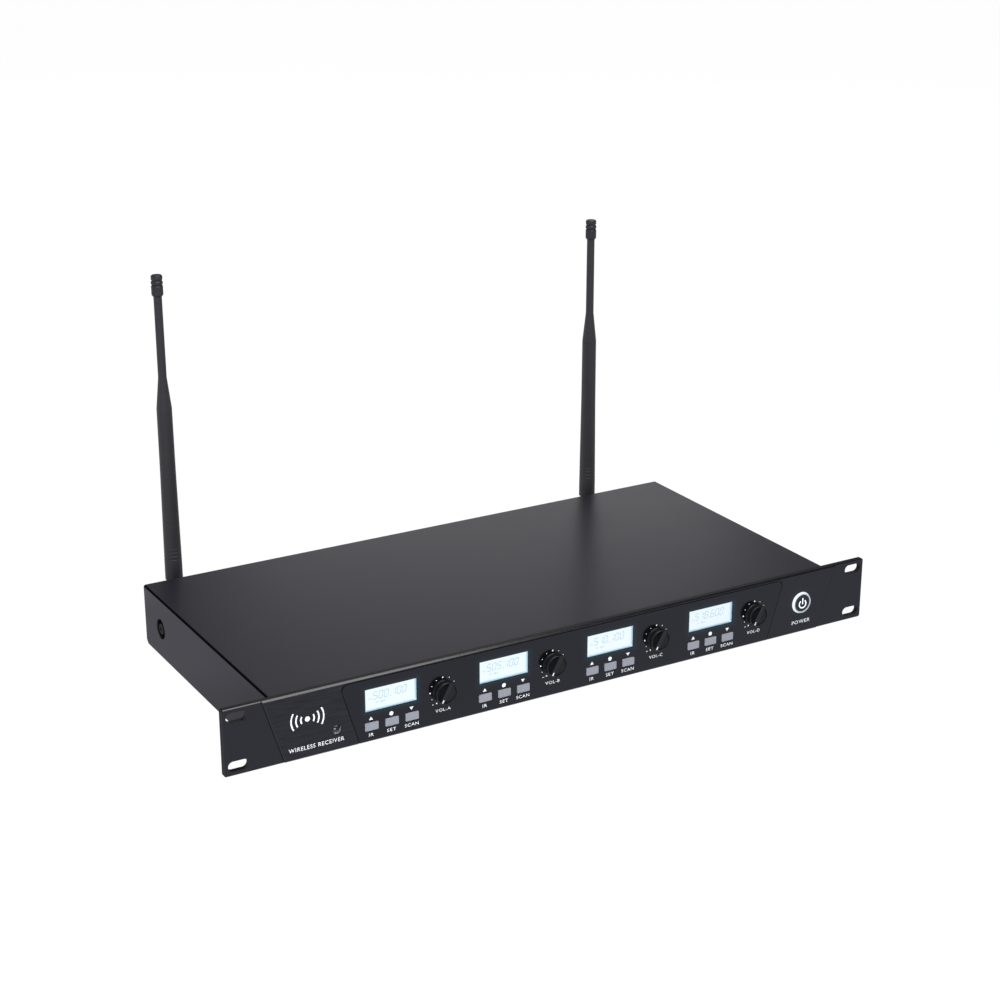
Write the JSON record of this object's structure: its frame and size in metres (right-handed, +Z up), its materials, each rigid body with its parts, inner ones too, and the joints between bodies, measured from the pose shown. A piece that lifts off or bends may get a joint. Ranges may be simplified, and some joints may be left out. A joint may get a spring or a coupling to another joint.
{
  "type": "wireless microphone receiver",
  "caption": "One-unit rack-mount wireless receiver with display screens, volume knobs and keys on its front, and folding whip antennas on its rear.",
  "frame": {"origin": "centre of the four rack slots, on the rear face of the rack panel", "axes": "+X right seen from the front, along the panel; +Y to the rear; +Z up"},
  "size_m": [0.4826, 0.2627, 0.2443],
  "materials": {
    "panel_paint": "satin powder coat, slightly brushed look",
    "window_acrylic": "gloss, dark tint",
    "case_paint": "satin",
    "zinc_steel": "zinc plated",
    "circuit_board": "green solder mask",
    "ribbon_grey": "matt",
    "tin_shield": "tin plate",
    "coax_black": "matt",
    "moulded_black": "matt",
    "sensor_tint": "gloss, infra-red filter tint",
    "ring_light": "clear, lit white",
    "power_cap": "satin",
    "nickel": "nickel plated",
    "steel_pin": "ground",
    "black_screw": "black zinc",
    "zinc_screw": "zinc plated",
    "antenna_moulding": "matt, fine texture",
    "antenna_rubber": "matt",
    "lcd_glass": "backlit display glass",
    "knob_plastic": "satin",
    "shaft_metal": "turned",
    "button_plastic": "satin silver grey"
  },
  "bodies": {
    "chassis": {"rack_panel": "panel_paint", "display_window": "window_acrylic", "top_cover": "case_paint", "chassis_tray": "case_paint", "panel_bracket_left": "zinc_steel", "panel_bracket_right": "zinc_steel", "front_board": "circuit_board", "main_board": "circuit_board", "ribbon_cable": "ribbon_grey", "receiver_modules": "tin_shield", "coax_leads": "coax_black", "power_switch": "moulded_black", "tact_switches": "moulded_black", "mix_jack": "moulded_black", "dc_inlet": "moulded_black", "volume_pots": "moulded_black", "xlr_outputs": "moulded_black", "sensor_lens": "sensor_tint", "power_light_ring": "ring_light", "bnc_jack_left": "nickel", "bnc_jack_right": "nickel", "jack_nuts": "nickel", "cover_screws": "black_screw", "rear_screws": "black_screw", "inner_screws": "zinc_screw", "lcd_module_a": "lcd_glass", "lcd_module_b": "lcd_glass", "lcd_module_c": "lcd_glass", "lcd_module_d": "lcd_glass"},
    "volume_a": {"knob_a": "knob_plastic", "pot_shaft_a": "shaft_metal"},
    "key_a_ir": {"button_a_ir": "button_plastic"},
    "key_a_set": {"button_a_set": "button_plastic"},
    "key_a_scan": {"button_a_scan": "button_plastic"},
    "volume_b": {"knob_b": "knob_plastic", "pot_shaft_b": "shaft_metal"},
    "key_b_ir": {"button_b_ir": "button_plastic"},
    "key_b_set": {"button_b_set": "button_plastic"},
    "key_b_scan": {"button_b_scan": "button_plastic"},
    "volume_c": {"knob_c": "knob_plastic", "pot_shaft_c": "shaft_metal"},
    "key_c_ir": {"button_c_ir": "button_plastic"},
    "key_c_set": {"button_c_set": "button_plastic"},
    "key_c_scan": {"button_c_scan": "button_plastic"},
    "volume_d": {"knob_d": "knob_plastic", "pot_shaft_d": "shaft_metal"},
    "key_d_ir": {"button_d_ir": "button_plastic"},
    "key_d_set": {"button_d_set": "button_plastic"},
    "key_d_scan": {"button_d_scan": "button_plastic"},
    "power_key": {"power_button": "power_cap"},
    "antenna_base_left": {"antenna_knuckle_left": "antenna_moulding", "antenna_pin_left": "steel_pin"},
    "antenna_left": {"antenna_whip_left": "antenna_rubber", "antenna_tip_left": "antenna_moulding"},
    "bayonet_left": {"antenna_collar_left": "nickel"},
    "antenna_base_right": {"antenna_knuckle_right": "antenna_moulding", "antenna_pin_right": "steel_pin"},
    "antenna_right": {"antenna_whip_right": "antenna_rubber", "antenna_tip_right": "antenna_moulding"},
    "bayonet_right": {"antenna_collar_right": "nickel"}
  },
  "joints": [
    {"name": "volume_a_turn", "type": "hinge", "parent": "chassis", "child": "volume_a", "pos_m": [-0.094, -0.004, 0.0006], "axis": [0, 1, 0], "range_deg": [0, 300]},
    {"name": "key_a_ir_press", "type": "slide", "parent": "chassis", "child": "key_a_ir", "axis": [0, 1, 0], "range_m": [0, 0.0005]},
    {"name": "key_a_set_press", "type": "slide", "parent": "chassis", "child": "key_a_set", "axis": [0, 1, 0], "range_m": [0, 0.0005]},
    {"name": "key_a_scan_press", "type": "slide", "parent": "chassis", "child": "key_a_scan", "axis": [0, 1, 0], "range_m": [0, 0.0005]},
    {"name": "volume_b_turn", "type": "hinge", "parent": "chassis", "child": "volume_b", "pos_m": [-0.0137, -0.004, 0.0006], "axis": [0, 1, 0], "range_deg": [0, 300]},
    {"name": "key_b_ir_press", "type": "slide", "parent": "chassis", "child": "key_b_ir", "axis": [0, 1, 0], "range_m": [0, 0.0005]},
    {"name": "key_b_set_press", "type": "slide", "parent": "chassis", "child": "key_b_set", "axis": [0, 1, 0], "range_m": [0, 0.0005]},
    {"name": "key_b_scan_press", "type": "slide", "parent": "chassis", "child": "key_b_scan", "axis": [0, 1, 0], "range_m": [0, 0.0005]},
    {"name": "volume_c_turn", "type": "hinge", "parent": "chassis", "child": "volume_c", "pos_m": [0.0666, -0.004, 0.0006], "axis": [0, 1, 0], "range_deg": [0, 300]},
    {"name": "key_c_ir_press", "type": "slide", "parent": "chassis", "child": "key_c_ir", "axis": [0, 1, 0], "range_m": [0, 0.0005]},
    {"name": "key_c_set_press", "type": "slide", "parent": "chassis", "child": "key_c_set", "axis": [0, 1, 0], "range_m": [0, 0.0005]},
    {"name": "key_c_scan_press", "type": "slide", "parent": "chassis", "child": "key_c_scan", "axis": [0, 1, 0], "range_m": [0, 0.0005]},
    {"name": "volume_d_turn", "type": "hinge", "parent": "chassis", "child": "volume_d", "pos_m": [0.1469, -0.004, 0.0006], "axis": [0, 1, 0], "range_deg": [0, 300]},
    {"name": "key_d_ir_press", "type": "slide", "parent": "chassis", "child": "key_d_ir", "axis": [0, 1, 0], "range_m": [0, 0.0005]},
    {"name": "key_d_set_press", "type": "slide", "parent": "chassis", "child": "key_d_set", "axis": [0, 1, 0], "range_m": [0, 0.0005]},
    {"name": "key_d_scan_press", "type": "slide", "parent": "chassis", "child": "key_d_scan", "axis": [0, 1, 0], "range_m": [0, 0.0005]},
    {"name": "power_press", "type": "slide", "parent": "chassis", "child": "power_key", "axis": [0, 1, 0], "range_m": [0, 0.0012]},
    {"name": "antenna_swivel_left", "type": "hinge", "parent": "chassis", "child": "antenna_base_left", "pos_m": [-0.1723, 0.2157, -0.0045], "axis": [0, 1, 0], "range_deg": [-90, 90]},
    {"name": "antenna_fold_left", "type": "hinge", "parent": "antenna_base_left", "child": "antenna_left", "pos_m": [-0.1723, 0.2463, -0.0045], "axis": [-1, 0, 0], "range_deg": [0, 90]},
    {"name": "bayonet_turn_left", "type": "hinge", "parent": "chassis", "child": "bayonet_left", "pos_m": [-0.1723, 0.2157, -0.0045], "axis": [0, 1, 0], "range_deg": [0, 90]},
    {"name": "antenna_swivel_right", "type": "hinge", "parent": "chassis", "child": "antenna_base_right", "pos_m": [0.1723, 0.2157, -0.0045], "axis": [0, 1, 0], "range_deg": [-90, 90]},
    {"name": "antenna_fold_right", "type": "hinge", "parent": "antenna_base_right", "child": "antenna_right", "pos_m": [0.1723, 0.2463, -0.0045], "axis": [-1, 0, 0], "range_deg": [0, 90]},
    {"name": "bayonet_turn_right", "type": "hinge", "parent": "chassis", "child": "bayonet_right", "pos_m": [0.1723, 0.2157, -0.0045], "axis": [0, 1, 0], "range_deg": [0, 90]}
  ]
}
